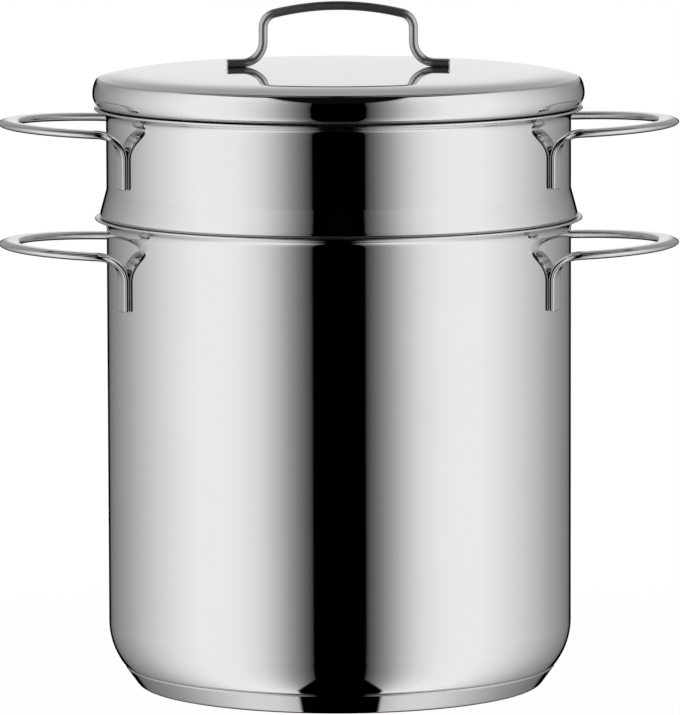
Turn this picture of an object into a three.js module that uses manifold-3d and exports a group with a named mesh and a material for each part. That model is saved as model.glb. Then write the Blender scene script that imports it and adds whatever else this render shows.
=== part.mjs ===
// A pasta pot: a tall pot on a capsule base, a lift-out strainer insert and a plug-in lid.
// Millimetres, +Z up. The origin is the middle of the underside, and the side handles lie along X.

import * as THREE from "three";
import { mergeVertices } from "three/addons/utils/BufferGeometryUtils.js";
import Module from "manifold-3d";

// Pot body
const POT_INNER_RADIUS = 90;
const POT_RIM_HEIGHT = 184.4;
const SHEET = 0.8;
const POT_CORNER_RADIUS = 27;
const POT_KNUCKLE_RADIUS = 2.5;
const POT_KNUCKLE_ANGLE = THREE.MathUtils.degToRad(41);

// Flared pouring rims of the pot and of the insert
const FLARE_RADIUS = 4;
const POT_LIP_LAND = 0.8;
const INSERT_LIP_LAND = 1.3;

// Capsule base: a pressed steel cap round an aluminium disc
const BASE_HEIGHT = 7.74;
const CAP_SHEET = 0.7;
const CAP_LAND = 1;
const CAP_SIDE_ANGLE = THREE.MathUtils.degToRad(31.7);
const CAP_EDGE_RADIUS = 3;

// Strainer insert
const INSERT_RIM_RISE = 42.9;
const FOOT_ROLL_RADIUS = 2.2;
const FOOT_OVERHANG = 2.5;
const FOOT_CONE_HEIGHT = 9.5;
const BASKET_CLEARANCE = 4;
const BASKET_SHOULDER_RADIUS = 4;
const BASKET_CORNER_RADIUS = 15;
const BASKET_FLOOR_HEIGHT = 30;

// Strainer holes, in staggered rows on the wall and in rings on the floor
const HOLE_DIAMETER = 8;
const WALL_HOLE_COLUMNS = 24;
const WALL_HOLE_ROWS = 5;
const WALL_HOLE_PITCH = 22;
const WALL_HOLE_START = 27;
const FLOOR_HOLE_RINGS = 3;
const FLOOR_HOLE_PITCH = 20;
const FLOOR_HOLES_PER_RING = 6;

// Lid
const LID_SHEET = 0.7;
const LID_BAND_RADIUS = 6;
const LID_BAND_OVERHANG = 5.3;
const LID_SHOULDER_RADIUS = 12;
const LID_EDGE_ANGLE = THREE.MathUtils.degToRad(26);
const LID_SLOPE_ANGLE = THREE.MathUtils.degToRad(12.4);
const LID_CAP_RADIUS = 81;
const LID_CAP_RISE = 2.15;
const LID_NECK_RADIUS = 2;
const LID_SKIRT_DEPTH = 9;

// Lid handle, one bent wire with flattened feet
const LID_WIRE = 3.5;
const LID_HANDLE_HALF_SPAN = 29.3;
const LID_HANDLE_HEIGHT = 23.3;
const LID_ARCH_RADIUS = 105;
const LID_UPPER_BEND = 5.75;
const LID_LOWER_BEND = 8.5;
const LID_FOOT_LENGTH = 5.7;
const LID_FOOT_THICKNESS = 2.4;
const LID_FOOT_SPREAD_RATIO = 1.3;
const LID_FOOT_BLEND = 5;

// Side handles, loops of oval rod whose legs are welded to the wall
const LOOP_WIDTH = 8.4;
const LOOP_THICKNESS = 3.3;
const LOOP_REACH = 42.2;
const LOOP_RADIUS = 43.5;
const LOOP_HALF_ANGLE = THREE.MathUtils.degToRad(80);
const LOOP_RISE = 1.5;
const LOOP_LEG_DROP = 21.7;
const LOOP_BEND_HEIGHT = 9.5;
const LOOP_BEND_PULL_UP = 7;
const LOOP_BEND_PULL_OUT = 2;
const INSERT_LOOP_DEPTH = 7.7;
const INSERT_LEG_ANGLE = THREE.MathUtils.degToRad(24.2);
const POT_LOOP_DEPTH = 12;
const POT_LEG_ANGLE = THREE.MathUtils.degToRad(24.8);

// Clearance between pieces that seat on, or are welded to, each other
const SEAT_GAP = 0.3;

// Facets
const SEGMENTS = 32;
const ARC_DIVISIONS = 2;
const WIRE_SIDES = 8;
const LOOP_STEPS = 20;
const BEND_STEPS = 4;
const LID_HANDLE_STEPS = 40;
const HOLE_SIDES = 6;
const WELD_TOLERANCE = 1e-4;

// Sizes that follow from the values above
const WALL_RADIUS = POT_INNER_RADIUS + SHEET;
const INSERT_RIM_HEIGHT = POT_RIM_HEIGHT + INSERT_RIM_RISE;
const BASKET_RADIUS = POT_INNER_RADIUS - BASKET_CLEARANCE;
const BOTTOM = -Math.PI / 2;
const TOP = Math.PI / 2;

const wasm = await Module();
wasm.setup();

function polar(centre, radius, angle) {
  return new THREE.Vector2(centre.x + radius * Math.cos(angle), centre.y + radius * Math.sin(angle));
}

// Shifts a line of points to the right of its direction of travel, with mitred corners.
function offsetRight(points, distance) {
  const last = points.length - 1;
  const normals = [];
  for (let i = 0; i < last; i += 1) {
    const along = points[i + 1].clone().sub(points[i]).normalize();
    normals.push(new THREE.Vector2(along.y, -along.x));
  }
  return points.map((point, i) => {
    const before = normals[Math.max(i - 1, 0)];
    const after = normals[Math.min(i, last - 1)];
    const mitre = before.clone().add(after).normalize();
    const moved = point.clone().addScaledVector(mitre, distance / mitre.dot(after));
    moved.x = point.x === 0 ? 0 : moved.x;
    return moved;
  });
}

// The points of a profile path, without the repeats where its pieces meet, and snapped to the axis.
function profilePoints(path) {
  const points = path.getPoints(ARC_DIVISIONS).filter((point, i, all) => {
    return i === 0 || point.distanceTo(all[i - 1]) > WELD_TOLERANCE;
  });
  for (const point of points) {
    point.x = point.x < WELD_TOLERANCE ? 0 : point.x;
  }
  return points;
}

// The outline of sheet metal whose outer face follows the points, which start or end on the axis.
function sheetOutline(points, thickness) {
  const inner = offsetRight(points, thickness).reverse();
  return points[0].x === 0 ? [...points, ...inner] : [...inner, ...points];
}

function signedVolume(position, index) {
  const a = new THREE.Vector3();
  const b = new THREE.Vector3();
  const c = new THREE.Vector3();
  let six = 0;
  for (let i = 0; i < index.length; i += 3) {
    a.fromBufferAttribute(position, index[i]);
    b.fromBufferAttribute(position, index[i + 1]);
    c.fromBufferAttribute(position, index[i + 2]);
    six += a.dot(b.cross(c));
  }
  return six / 6;
}

// Welds a geometry's vertices into one closed body whose faces point out.
function closedBody(geometry) {
  geometry.deleteAttribute("normal");
  geometry.deleteAttribute("uv");
  const welded = mergeVertices(geometry, WELD_TOLERANCE);
  const corners = welded.index.array;
  const index = [];
  for (let i = 0; i < corners.length; i += 3) {
    const [a, b, c] = corners.slice(i, i + 3);
    if (a !== b && b !== c && c !== a) {
      index.push(a, b, c);
    }
  }
  if (signedVolume(welded.attributes.position, index) < 0) {
    index.reverse();
  }
  welded.setIndex(index);
  welded.computeVertexNormals();
  return welded;
}

function revolve(outline) {
  const lathe = new THREE.LatheGeometry(outline, SEGMENTS);
  lathe.rotateX(Math.PI / 2);
  return closedBody(lathe);
}

function bentWire(curve, diameter, steps) {
  const section = new THREE.Shape().absarc(0, 0, diameter / 2, 0, 2 * Math.PI, false);
  const options = { extrudePath: curve, steps, curveSegments: WIRE_SIDES / 2 };
  return closedBody(new THREE.ExtrudeGeometry(section, options));
}

function toSolid(geometry) {
  return new wasm.Manifold(new wasm.Mesh({
    numProp: 3,
    vertProperties: new Float32Array(geometry.attributes.position.array),
    triVerts: new Uint32Array(geometry.index.array),
  }));
}

function fromSolid(solid) {
  const { vertProperties, triVerts } = solid.getMesh();
  const geometry = new THREE.BufferGeometry();
  geometry.setAttribute("position", new THREE.BufferAttribute(vertProperties, 3));
  geometry.setIndex(new THREE.BufferAttribute(triVerts, 1));
  geometry.computeVertexNormals();
  return geometry;
}

// Centre of the arc that turns a wall out into a flared rim.
function flareCentre(rimHeight) {
  return new THREE.Vector2(WALL_RADIUS + FLARE_RADIUS, rimHeight - SHEET - FLARE_RADIUS);
}

// Starts a profile at the lip's edge and brings it round the flare to the vertical wall.
function flaredRim(rimHeight, land) {
  const centre = flareCentre(rimHeight);
  const path = new THREE.Path();
  path.moveTo(centre.x + land, centre.y + FLARE_RADIUS);
  path.lineTo(centre.x, centre.y + FLARE_RADIUS);
  path.absarc(centre.x, centre.y, FLARE_RADIUS, TOP, Math.PI, false);
  return path;
}

// Centre of a round edge that overhangs the wall and sits on a flared rim, a seat gap above it.
function seatedCentre(rimHeight, roundRadius, overhang) {
  const flare = flareCentre(rimHeight);
  const reach = FLARE_RADIUS + SHEET + SEAT_GAP + roundRadius;
  const radius = WALL_RADIUS + overhang - roundRadius;
  const height = flare.y + Math.sqrt(reach ** 2 - (flare.x - radius) ** 2);
  return new THREE.Vector2(radius, height);
}

// Centre of the round corner between the pot's wall and its floor.
function potCorner() {
  const drop = (POT_CORNER_RADIUS - POT_KNUCKLE_RADIUS) * Math.sin(POT_KNUCKLE_ANGLE);
  const height = BASE_HEIGHT + POT_KNUCKLE_RADIUS + drop;
  return new THREE.Vector2(WALL_RADIUS - POT_CORNER_RADIUS, height);
}

function potShell() {
  const corner = potCorner();
  const knuckle = polar(corner, POT_CORNER_RADIUS - POT_KNUCKLE_RADIUS, -POT_KNUCKLE_ANGLE);
  const path = flaredRim(POT_RIM_HEIGHT, POT_LIP_LAND);
  path.lineTo(WALL_RADIUS, corner.y);
  path.absarc(corner.x, corner.y, POT_CORNER_RADIUS, 0, -POT_KNUCKLE_ANGLE, true);
  path.absarc(knuckle.x, knuckle.y, POT_KNUCKLE_RADIUS, -POT_KNUCKLE_ANGLE, BOTTOM, true);
  path.lineTo(0, BASE_HEIGHT);
  return revolve(sheetOutline(profilePoints(path), SHEET));
}

// The cap's outer face, from its seam with the pot down and in to the axis.
function capFace() {
  const corner = potCorner();
  const seamHeight = BASE_HEIGHT - SEAT_GAP;
  const seamRadius = corner.x + Math.sqrt(POT_CORNER_RADIUS ** 2 - (corner.y - seamHeight) ** 2);
  const landHeight = seamHeight - CAP_LAND;
  const sideToArc = CAP_EDGE_RADIUS * (1 - Math.sin(CAP_SIDE_ANGLE));
  const sideEndRadius = seamRadius - (landHeight - sideToArc) * Math.tan(CAP_SIDE_ANGLE);
  const edgeX = sideEndRadius - CAP_EDGE_RADIUS * Math.cos(CAP_SIDE_ANGLE);
  const path = new THREE.Path();
  path.moveTo(seamRadius, seamHeight);
  path.lineTo(seamRadius, landHeight);
  path.absarc(edgeX, CAP_EDGE_RADIUS, CAP_EDGE_RADIUS, -CAP_SIDE_ANGLE, BOTTOM, true);
  path.lineTo(0, 0);
  return profilePoints(path);
}

function baseCap() {
  return revolve(sheetOutline(capFace(), CAP_SHEET));
}

function baseCore() {
  const face = offsetRight(capFace(), CAP_SHEET + SEAT_GAP);
  return revolve([new THREE.Vector2(0, face[0].y), ...face]);
}

// The insert's outer face: flared rim, collar, rolled foot on the pot's rim, then the basket.
function insertShell() {
  const foot = seatedCentre(POT_RIM_HEIGHT, FOOT_ROLL_RADIUS, FOOT_OVERHANG);
  const coneTop = new THREE.Vector2(WALL_RADIUS, foot.y + FOOT_CONE_HEIGHT);
  const toCone = coneTop.clone().sub(foot);
  const coneEnd = toCone.angle() - Math.acos(FOOT_ROLL_RADIUS / toCone.length());
  const shoulderX = BASKET_RADIUS + BASKET_SHOULDER_RADIUS;
  const shoulderY = foot.y - FOOT_ROLL_RADIUS - BASKET_SHOULDER_RADIUS;
  const cornerX = BASKET_RADIUS - BASKET_CORNER_RADIUS;
  const cornerY = BASKET_FLOOR_HEIGHT + BASKET_CORNER_RADIUS;
  const path = flaredRim(INSERT_RIM_HEIGHT, INSERT_LIP_LAND);
  path.lineTo(coneTop.x, coneTop.y);
  path.absarc(foot.x, foot.y, FOOT_ROLL_RADIUS, coneEnd, BOTTOM, true);
  path.absarc(shoulderX, shoulderY, BASKET_SHOULDER_RADIUS, TOP, Math.PI, false);
  path.lineTo(BASKET_RADIUS, cornerY);
  path.absarc(cornerX, cornerY, BASKET_CORNER_RADIUS, 0, BOTTOM, true);
  path.lineTo(0, BASKET_FLOOR_HEIGHT);
  return revolve(sheetOutline(profilePoints(path), SHEET));
}

function holeDrill() {
  const length = 2 * BASKET_CLEARANCE;
  return new THREE.CylinderGeometry(HOLE_DIAMETER / 2, HOLE_DIAMETER / 2, length, HOLE_SIDES);
}

function wallDrills() {
  const drills = [];
  for (let row = 0; row < WALL_HOLE_ROWS; row += 1) {
    const height = BASKET_FLOOR_HEIGHT + WALL_HOLE_START + row * WALL_HOLE_PITCH;
    for (let column = 0; column < WALL_HOLE_COLUMNS; column += 1) {
      const drill = holeDrill();
      drill.rotateZ(Math.PI / 2);
      drill.translate(BASKET_RADIUS - SHEET / 2, 0, height);
      drill.rotateZ(((column + (row % 2) / 2) * 2 * Math.PI) / WALL_HOLE_COLUMNS);
      drills.push(drill);
    }
  }
  return drills;
}

function floorDrills() {
  const drills = [];
  for (let ring = 0; ring <= FLOOR_HOLE_RINGS; ring += 1) {
    const count = Math.max(1, ring * FLOOR_HOLES_PER_RING);
    for (let i = 0; i < count; i += 1) {
      const drill = holeDrill();
      drill.rotateX(Math.PI / 2);
      drill.translate(ring * FLOOR_HOLE_PITCH, 0, BASKET_FLOOR_HEIGHT + SHEET / 2);
      drill.rotateZ((i * 2 * Math.PI) / count);
      drills.push(drill);
    }
  }
  return drills;
}

function strainerInsert() {
  let solid = toSolid(insertShell());
  for (const drill of [...wallDrills(), ...floorDrills()]) {
    solid = solid.subtract(toSolid(closedBody(drill)));
  }
  return fromSolid(solid);
}

// The lid's round band, its flatter shoulder, the slope above them, and the sphere of its shallow cap.
function lidForm() {
  const band = seatedCentre(INSERT_RIM_HEIGHT, LID_BAND_RADIUS, LID_BAND_OVERHANG);
  const shoulder = new THREE.Vector2(band.x + LID_BAND_RADIUS - LID_SHOULDER_RADIUS, band.y);
  const edge = polar(shoulder, LID_SHOULDER_RADIUS, LID_EDGE_ANGLE);
  const slopeRise = (edge.x - LID_CAP_RADIUS) * Math.tan(LID_SLOPE_ANGLE);
  const capEdge = new THREE.Vector2(LID_CAP_RADIUS, edge.y + slopeRise);
  const crownHeight = capEdge.y + LID_CAP_RISE;
  const domeRadius = (LID_CAP_RADIUS ** 2 + LID_CAP_RISE ** 2) / (2 * LID_CAP_RISE);
  const domeCentre = new THREE.Vector2(0, crownHeight - domeRadius);
  return { band, shoulder, edge, capEdge, crownHeight, domeRadius, domeCentre };
}

function lidShell() {
  const { band, shoulder, edge, capEdge, domeRadius, domeCentre } = lidForm();
  const neckY = band.y - LID_BAND_RADIUS - LID_NECK_RADIUS;
  const domeEnd = capEdge.clone().sub(domeCentre).angle();
  const path = new THREE.Path();
  path.absarc(domeCentre.x, domeCentre.y, domeRadius, TOP, domeEnd, true);
  const shoulderMiddle = polar(shoulder, LID_SHOULDER_RADIUS, LID_EDGE_ANGLE / 2);
  path.lineTo(edge.x, edge.y);
  path.lineTo(shoulderMiddle.x, shoulderMiddle.y);
  path.absarc(band.x, band.y, LID_BAND_RADIUS, 0, BOTTOM, true);
  path.absarc(band.x, neckY, LID_NECK_RADIUS, TOP, Math.PI, false);
  path.lineTo(band.x - LID_NECK_RADIUS, neckY - LID_SKIRT_DEPTH);
  return revolve(sheetOutline(profilePoints(path), LID_SHEET));
}

// A curve in the plane of the side handles, drawn in X and Z.
class UprightCurve extends THREE.Curve {
  constructor(path) {
    super();
    this.path = path;
  }

  getPoint(t, target = new THREE.Vector3()) {
    const { x, y } = this.path.getPoint(t);
    return target.set(x, 0, y);
  }
}

// The lid handle's centre line: foot, bend, leg, bend, arch, and the same again down the other side.
function lidHandleCurve() {
  const { crownHeight, domeRadius, domeCentre } = lidForm();
  const footX = LID_HANDLE_HALF_SPAN + LID_LOWER_BEND;
  const footReach = domeRadius + SEAT_GAP + LID_FOOT_THICKNESS / 2 + LID_LOWER_BEND;
  const tilt = Math.asin(footX / footReach);
  const lowerY = domeCentre.y + footReach * Math.cos(tilt);
  const archY = crownHeight + SEAT_GAP + LID_HANDLE_HEIGHT - LID_ARCH_RADIUS;
  const upperX = LID_HANDLE_HALF_SPAN - LID_UPPER_BEND;
  const upperReach = LID_ARCH_RADIUS - LID_UPPER_BEND;
  const upperY = archY + Math.sqrt(upperReach ** 2 - upperX ** 2);
  const lean = Math.asin(upperX / upperReach);
  const footStart = polar(new THREE.Vector2(-footX, lowerY), LID_LOWER_BEND, BOTTOM + tilt);
  const footEnd = polar(footStart, -LID_FOOT_LENGTH, tilt);
  const path = new THREE.Path();
  path.moveTo(footEnd.x, footEnd.y);
  path.lineTo(footStart.x, footStart.y);
  path.absarc(-footX, lowerY, LID_LOWER_BEND, BOTTOM + tilt, 0, false);
  path.absarc(-upperX, upperY, LID_UPPER_BEND, Math.PI, TOP + lean, true);
  path.absarc(0, archY, LID_ARCH_RADIUS, TOP + lean, TOP - lean, true);
  path.absarc(upperX, upperY, LID_UPPER_BEND, TOP - lean, 0, true);
  path.absarc(footX, lowerY, LID_LOWER_BEND, Math.PI, -TOP - tilt, false);
  path.lineTo(-footEnd.x, footEnd.y);
  return new UprightCurve(path);
}

// Presses the ends of the wire flat against the dome, and spreads them sideways.
function flattenFeet(geometry) {
  const { domeRadius, domeCentre } = lidForm();
  const centre = new THREE.Vector3(0, 0, domeCentre.y);
  const middle = domeRadius + SEAT_GAP + LID_FOOT_THICKNESS / 2;
  const flat = LID_HANDLE_HALF_SPAN + LID_LOWER_BEND;
  const squeeze = LID_FOOT_THICKNESS / LID_WIRE;
  const position = geometry.attributes.position;
  const point = new THREE.Vector3();
  for (let i = 0; i < position.count; i += 1) {
    point.fromBufferAttribute(position, i);
    const share = THREE.MathUtils.smoothstep(Math.abs(point.x), flat - LID_FOOT_BLEND, flat);
    const fromCentre = point.clone().sub(centre);
    const height = fromCentre.length() - middle;
    const pressed = height * THREE.MathUtils.lerp(1, squeeze, share);
    point.copy(centre).addScaledVector(fromCentre.normalize(), middle + pressed);
    point.y *= THREE.MathUtils.lerp(1, LID_FOOT_SPREAD_RATIO, share);
    position.setXYZ(i, point.x, point.y, point.z);
  }
  geometry.computeVertexNormals();
  return geometry;
}

function lidHandle() {
  return flattenFeet(bentWire(lidHandleCurve(), LID_WIRE, LID_HANDLE_STEPS));
}

// The round part of a side loop, which climbs a little towards its tip.
class LoopArc extends THREE.Curve {
  constructor(level) {
    super();
    this.level = level;
    this.centreX = WALL_RADIUS + LOOP_REACH - LOOP_WIDTH / 2 - LOOP_RADIUS;
  }

  getPoint(t, target = new THREE.Vector3()) {
    const angle = THREE.MathUtils.lerp(LOOP_HALF_ANGLE, -LOOP_HALF_ANGLE, t);
    const outward = LOOP_RADIUS * Math.cos(angle);
    const climb = (LOOP_RISE * outward) / LOOP_RADIUS;
    return target.set(this.centreX + outward, LOOP_RADIUS * Math.sin(angle), this.level + climb);
  }
}

// Stations along half of a side handle: up its leg, through the bend and round the loop to its tip.
// Each has the rod's centre, its direction, and the level direction that its width lies across.
function loopHalf(level, legAngle) {
  const arc = new LoopArc(level);
  const up = new THREE.Vector3(0, 0, 1);
  const radial = new THREE.Vector3(Math.cos(legAngle), Math.sin(legAngle), 0);
  const legBase = radial.clone().multiplyScalar(WALL_RADIUS + SEAT_GAP + LOOP_THICKNESS / 2);
  const foot = legBase.clone().setZ(level - LOOP_LEG_DROP);
  const top = legBase.clone().setZ(level - LOOP_BEND_HEIGHT);
  const start = arc.getPoint(0);
  const outward = arc.getTangent(0);
  const pullUp = top.clone().addScaledVector(up, LOOP_BEND_PULL_UP);
  const pullOut = start.clone().addScaledVector(outward, -LOOP_BEND_PULL_OUT);
  const bend = new THREE.CubicBezierCurve3(top, pullUp, pullOut, start);
  const stations = [{ centre: foot, along: up, heading: radial }];
  for (let i = 0; i < BEND_STEPS; i += 1) {
    const t = i / BEND_STEPS;
    const heading = radial.clone().lerp(outward, t);
    stations.push({ centre: bend.getPoint(t), along: bend.getTangent(t), heading });
  }
  for (let i = 0; i <= LOOP_STEPS / 2; i += 1) {
    const along = arc.getTangent(i / LOOP_STEPS);
    stations.push({ centre: arc.getPoint(i / LOOP_STEPS), along, heading: along });
  }
  return stations;
}

// The same station on the other side of the handle's middle, where the rod runs back.
function mirrored({ centre, along, heading }) {
  const acrossMiddle = new THREE.Vector3(1, -1, 1);
  const back = new THREE.Vector3(-1, 1, -1);
  return {
    centre: centre.clone().multiply(acrossMiddle),
    along: along.clone().multiply(back),
    heading: heading.clone().multiply(back),
  };
}

// The oval section at a station, its width level and square to the rod.
function ovalRing({ centre, along, heading }) {
  const up = new THREE.Vector3(0, 0, 1);
  const across = up.cross(heading);
  across.addScaledVector(along, -across.dot(along)).normalize();
  const through = along.clone().cross(across);
  return Array.from({ length: WIRE_SIDES }, (_, i) => {
    const angle = (2 * Math.PI * i) / WIRE_SIDES;
    const point = centre.clone().addScaledVector(across, (LOOP_WIDTH / 2) * Math.cos(angle));
    return point.addScaledVector(through, (LOOP_THICKNESS / 2) * Math.sin(angle));
  });
}

// Skins a row of rings, and closes its two ends.
function skinned(rings) {
  const sides = rings[0].length;
  const index = [];
  for (let ring = 0; ring + 1 < rings.length; ring += 1) {
    for (let i = 0; i < sides; i += 1) {
      const a = ring * sides + i;
      const b = ring * sides + ((i + 1) % sides);
      index.push(a, b, a + sides, b, b + sides, a + sides);
    }
  }
  const last = (rings.length - 1) * sides;
  for (let i = 1; i + 1 < sides; i += 1) {
    index.push(0, i + 1, i, last, last + i, last + i + 1);
  }
  const geometry = new THREE.BufferGeometry().setFromPoints(rings.flat());
  geometry.setIndex(index);
  return closedBody(geometry);
}

function sideLoop(level, legAngle) {
  const half = loopHalf(level, legAngle);
  const otherHalf = half.slice(0, -1).map(mirrored).reverse();
  return skinned([...half, ...otherHalf].map(ovalRing));
}

const polishedSteel = new THREE.MeshStandardMaterial({ color: 0xd9dadb, roughness: 0.08, metalness: 1 });
const satinSteel = new THREE.MeshStandardMaterial({ color: 0xcfd0d1, roughness: 0.25, metalness: 1 });
const polishedWire = new THREE.MeshStandardMaterial({ color: 0xd5d6d8, roughness: 0.12, metalness: 1 });
const aluminium = new THREE.MeshStandardMaterial({ color: 0xbfc1c4, roughness: 0.4, metalness: 1 });

function piece(name, geometry, material) {
  const mesh = new THREE.Mesh(geometry, material);
  mesh.name = name;
  return mesh;
}

// A pair of side handles, the second turned half a turn about the pot's axis.
function handlePair(name, level, legAngle) {
  const right = piece(`${name}_handle_right`, sideLoop(level, legAngle), polishedWire);
  const left = piece(`${name}_handle_left`, sideLoop(level, legAngle), polishedWire);
  left.rotation.z = Math.PI;
  return [right, left];
}

const pot = new THREE.Group();
pot.add(piece("pot_shell", potShell(), polishedSteel));
pot.add(piece("base_core", baseCore(), aluminium));
pot.add(piece("base_cap", baseCap(), satinSteel));
pot.add(...handlePair("pot", POT_RIM_HEIGHT - POT_LOOP_DEPTH, POT_LEG_ANGLE));

const insert = new THREE.Group();
insert.add(piece("strainer_insert", strainerInsert(), polishedSteel));
insert.add(...handlePair("insert", INSERT_RIM_HEIGHT - INSERT_LOOP_DEPTH, INSERT_LEG_ANGLE));

const lid = new THREE.Group();
lid.add(piece("lid_shell", lidShell(), polishedSteel));
lid.add(piece("lid_handle", lidHandle(), polishedWire));

const pastaPot = new THREE.Group();
pastaPot.add(pot, insert, lid);

export default pastaPot;
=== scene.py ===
"""The looks of the pasta pot: turned and bent steel in place of the faceted solids, in metres, +Z up."""

import math

import bpy
import numpy as np
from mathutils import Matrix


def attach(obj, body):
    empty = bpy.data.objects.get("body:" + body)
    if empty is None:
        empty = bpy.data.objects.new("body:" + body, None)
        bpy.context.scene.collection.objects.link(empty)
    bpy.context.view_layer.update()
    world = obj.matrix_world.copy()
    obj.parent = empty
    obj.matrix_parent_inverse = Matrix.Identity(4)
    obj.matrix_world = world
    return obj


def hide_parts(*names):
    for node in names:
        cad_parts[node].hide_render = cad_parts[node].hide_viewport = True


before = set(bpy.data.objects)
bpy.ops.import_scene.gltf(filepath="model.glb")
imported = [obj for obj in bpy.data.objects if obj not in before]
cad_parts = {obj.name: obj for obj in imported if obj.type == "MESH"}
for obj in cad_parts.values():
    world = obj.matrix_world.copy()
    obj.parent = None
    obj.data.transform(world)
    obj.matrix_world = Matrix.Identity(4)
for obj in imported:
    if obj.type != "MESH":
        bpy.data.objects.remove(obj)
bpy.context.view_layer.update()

MM = 0.001

# Pot body
WALL_RADIUS = 90.8 * MM
POT_RIM_HEIGHT = 184.4 * MM
SHEET = 0.8 * MM
POT_CORNER_RADIUS = 27 * MM
POT_KNUCKLE_RADIUS = 2.5 * MM
POT_KNUCKLE_ANGLE = 36.5

# Flared pouring rims of the pot and of the insert
FLARE_RADIUS = 4 * MM
POT_LIP_LAND = 0.1 * MM
INSERT_LIP_LAND = 0.2 * MM

# Capsule base
BASE_HEIGHT = 8.2 * MM
CAP_SHEET = 0.7 * MM
CAP_LAND = 0.35 * MM
CAP_SIDE_ANGLE = 36
CAP_SHOULDER_RADIUS = 0.3 * MM
CAP_EDGE_RADIUS = 3 * MM
CORE_RIM_RADIUS = CAP_LAND / 3

# Strainer insert
INSERT_RIM_HEIGHT = POT_RIM_HEIGHT + 42.9 * MM
FOOT_ROLL_RADIUS = 2.2 * MM
FOOT_OVERHANG = 2.5 * MM
FOOT_CONE_HEIGHT = 9.5 * MM
FOOT_CONE_FOLD_RADIUS = 4 * MM
BASKET_RADIUS = WALL_RADIUS - SHEET - 4 * MM
BASKET_SHOULDER_RADIUS = 4 * MM
BASKET_CORNER_RADIUS = 15 * MM
BASKET_FLOOR = 30 * MM

# Strainer holes
HOLE_RADIUS = 4 * MM
HOLE_EDGE_ROUND = 0.2 * MM
HOLE_COLLAR = 1.2 * MM
WALL_COLUMNS = 24
WALL_ROWS = 5
WALL_PITCH = 22 * MM
WALL_START = BASKET_FLOOR + 27 * MM
FLOOR_RINGS = 3
FLOOR_PITCH = 20 * MM
FLOOR_HOLES_PER_RING = 6
CELL_SIDE_STEPS = 4
CELL_STEPS_OUTSIDE = 5

# Lid
LID_SHEET = 0.7 * MM
LID_BAND_RADIUS = 6 * MM
LID_BAND_OVERHANG = 5.3 * MM
LID_SHOULDER_RADIUS = 12 * MM
LID_EDGE_ANGLE = 30
LID_EDGE_ROUND = 2 * MM
LID_SLOPE_ANGLE = 12.4
LID_CAP_RADIUS = 82 * MM
LID_CAP_RISE = 1.7 * MM
LID_CAP_ROUND = 100 * MM
LID_NECK_RADIUS = 2 * MM
LID_SKIRT_DEPTH = 9 * MM

# Lid handle
LID_WIRE = 3.5 * MM
LID_HANDLE_HALF_SPAN = 29.3 * MM
LID_HANDLE_HEIGHT = 23.3 * MM
LID_ARCH_RADIUS = 105 * MM
LID_UPPER_BEND = 5.75 * MM
LID_LOWER_BEND = 8.5 * MM
LID_FOOT_LENGTH = 5.9 * MM
LID_FOOT_THICKNESS = 3.2 * MM
LID_FOOT_SPREAD_RATIO = 1.3
LID_FOOT_BLEND = 5 * MM

# Side handles, of oval rod
LOOP_WIDTH = 8.4 * MM
LOOP_THICKNESS = 3.3 * MM
LOOP_REACH = 42.2 * MM
LOOP_RADIUS = 43.5 * MM
LOOP_HALF_ANGLE = 80
LOOP_RISE = 1.5 * MM
LOOP_LEG_DROP = 21.7 * MM
LOOP_BEND_HEIGHT = 9.5 * MM
LOOP_BEND_PULL_UP = 7.5 * MM
LOOP_BEND_PULL_OUT = 3.5 * MM
LOOP_CENTRE = WALL_RADIUS + LOOP_REACH - LOOP_WIDTH / 2 - LOOP_RADIUS
INSERT_LOOP_LEVEL = INSERT_RIM_HEIGHT - 7.7 * MM
INSERT_LEG_ANGLE = 24.2
POT_LOOP_LEVEL = POT_RIM_HEIGHT - 12 * MM
POT_LEG_ANGLE = 24.8
LOOP_SQUARENESS = 2
LEG_WIDTH = 7.6 * MM
LEG_THICKNESS = 2.1 * MM
LEG_SQUARENESS = 5
BEAD_WIDTH = 5.2 * MM
BEAD_DEPTH = 0.8 * MM
BEAD_INSET = 1.5 * MM

# Gap between pieces that seat on each other, and how far welded feet sink in
SEAT_GAP = 0.3 * MM
WELD_SINK = 0.05 * MM

# Fineness of the surfaces
TURN_STEPS = 288
SAGITTA = 0.01 * MM
FEWEST_ARC_STEPS = 4
EDGE_POINTS = 9
SAME_PLACE = 1e-9
WIRE_SIDES = 40
WIRE_END_BEVEL = 0.35 * MM
LID_WIRE_STEP = LID_WIRE / 5
LOOP_ROD_STEP = LOOP_THICKNESS / 4
LOOP_STEPS = 120
BEND_STEPS = 40
BEAD_STEPS = 12
WELD_DECIMALS = 7

# Which finish a face takes
OUTSIDE = 0
INSIDE = 1


# Profiles: rows of radius, height and outward normal, with the outside on the left of the travel

def stretch(start, end):
    """A straight piece of profile: its two ends, with the normal a quarter turn left of the travel."""
    start = np.array(start)
    end = np.array(end)
    along = (end - start) / np.linalg.norm(end - start)
    normal = (-along[1], along[0])
    return np.array([(*start, *normal), (*end, *normal)])


def bend(centre, radius, start, end):
    """A round piece of profile: centre plus radius times the ray at angles from start to end, in degrees.

    The steps are short enough for a facet to leave the curve by no more than the sagitta. The normal is
    the ray itself where the travel is clockwise, and its opposite where it is not.
    """
    widest = 2 * math.degrees(math.acos(1 - SAGITTA / radius))
    count = max(FEWEST_ARC_STEPS, math.ceil(abs(end - start) / widest)) + 1
    angle = np.radians(np.linspace(start, end, count))
    ray = np.column_stack((np.cos(angle), np.sin(angle)))
    side = 1 if end < start else -1
    return np.hstack((np.array(centre) + radius * ray, side * ray))


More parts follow.
